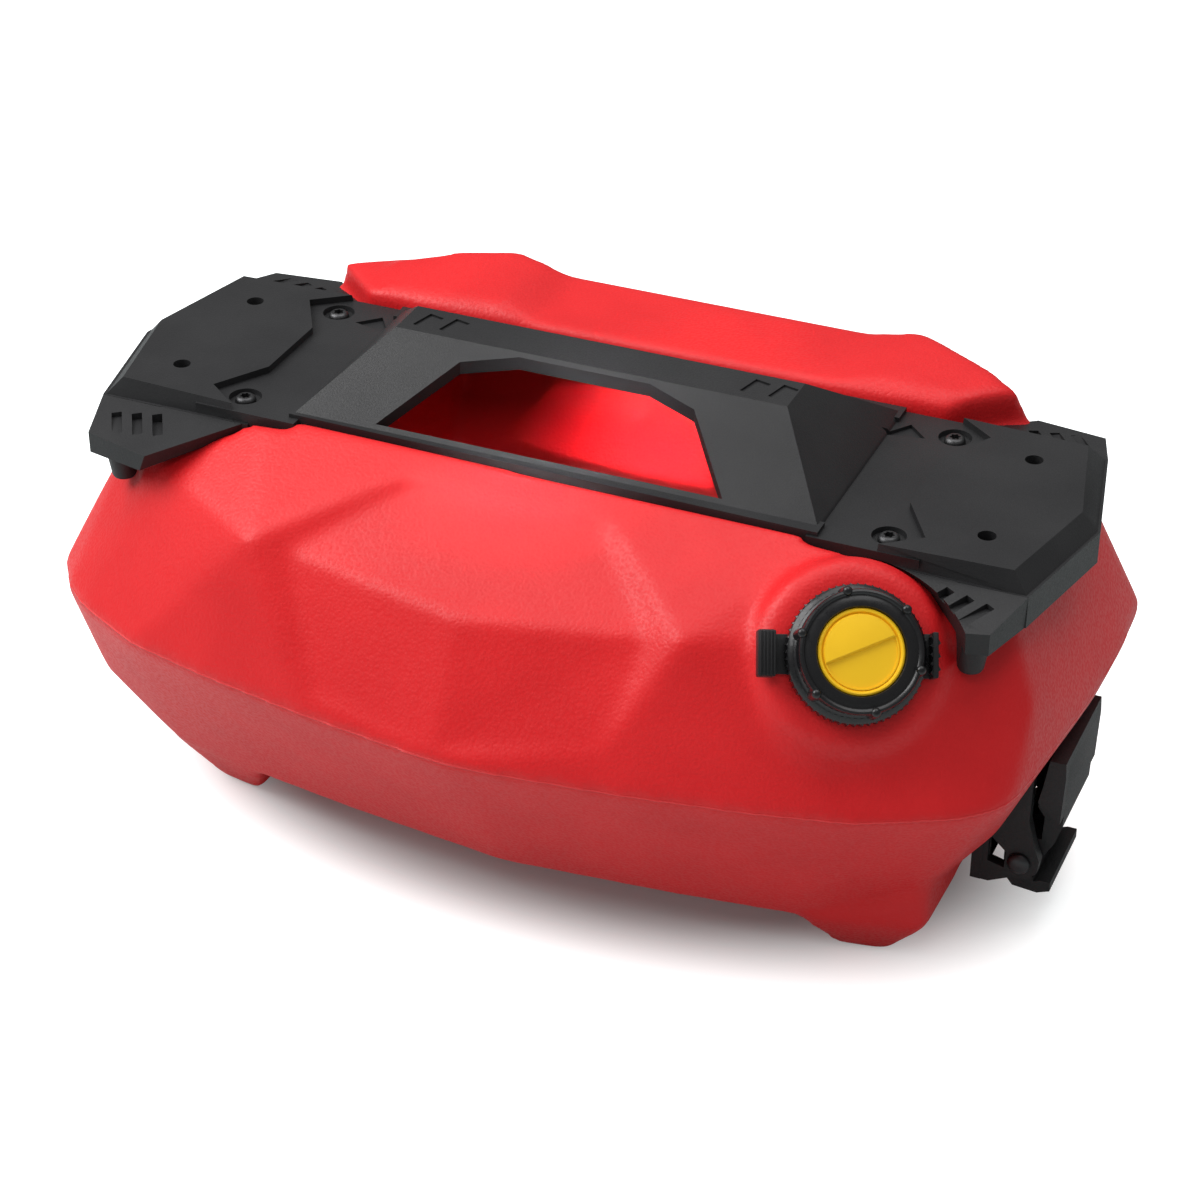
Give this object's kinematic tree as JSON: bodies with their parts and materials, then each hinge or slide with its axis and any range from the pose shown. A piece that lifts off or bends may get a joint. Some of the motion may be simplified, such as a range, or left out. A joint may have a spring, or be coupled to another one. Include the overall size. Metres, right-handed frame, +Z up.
{
  "type": "fuel caddy",
  "caption": "Low stackable fuel can with a faceted hollow tank, a bolted carrying deck with a handle, a locking screw cap and a sprung hook latch at each end.",
  "frame": {"origin": "on the ground, under the middle of the tank", "axes": "+X along the long side to the cap's end, +Y away from the side that carries the cap, +Z up"},
  "size_m": [0.4898, 0.3318, 0.2426],
  "materials": {
    "tank": "moulded polyethylene with a fine grain",
    "deck": "fine textured moulding",
    "screw": "black oxide",
    "insert": "turned",
    "nut": "zinc plated",
    "collar": "glossy moulding",
    "stopper": "satin moulding",
    "gasket": "fuel-proof rubber",
    "lock": "satin moulding",
    "spring": "drawn wire",
    "latch": "fine textured moulding",
    "pin": "ground"
  },
  "bodies": {
    "caddy": {"tank": "tank", "deck": "deck", "deck_screws": "screw", "deck_inserts": "insert", "anchor_nuts": "nut", "lock_spring": "spring", "right_latch_frame": "latch", "right_latch_pin": "pin", "right_latch_spring": "spring", "right_latch_screws": "screw", "right_latch_inserts": "insert", "left_latch_frame": "latch", "left_latch_pin": "pin", "left_latch_spring": "spring", "left_latch_screws": "screw", "left_latch_inserts": "insert"},
    "stopper": {"stopper": "stopper", "gasket": "gasket"},
    "collar": {"collar": "collar"},
    "lock_ring": {"lock_ring": "lock"},
    "right_lever": {"right_latch_lever": "latch"},
    "left_lever": {"left_latch_lever": "latch"}
  },
  "joints": [
    {"name": "collar_turn", "type": "hinge", "parent": "stopper", "child": "collar", "pos_m": [0.1603, -0.0962, 0.177], "axis": [0.3715, -0.6986, 0.6115], "range_deg": [0, 800]},
    {"name": "cap_lift", "type": "slide", "parent": "caddy", "child": "stopper", "axis": [0.3715, -0.6986, 0.6115], "range_m": [0, 0.0133]},
    {"name": "lock_press", "type": "slide", "parent": "caddy", "child": "lock_ring", "axis": [0.8829, 0.4695, 0], "range_m": [0, 0.0025], "stiffness_N_per_m": 600, "springref_m": -0.002},
    {"name": "right_lever_swing", "type": "hinge", "parent": "caddy", "child": "right_lever", "pos_m": [0.226, 0, 0.04], "axis": [0, 1, 0], "range_deg": [0, 28], "stiffness_Nm_per_rad": 0.25, "springref_deg": -20.05},
    {"name": "left_lever_swing", "type": "hinge", "parent": "caddy", "child": "left_lever", "pos_m": [-0.226, 0, 0.04], "axis": [0, -1, 0], "range_deg": [0, 28], "stiffness_Nm_per_rad": 0.25, "springref_deg": -20.05}
  ],
  "couplings": [
    {"joint": "collar_turn", "follows": "cap_lift", "rad_per_m": 1047.2}
  ]
}
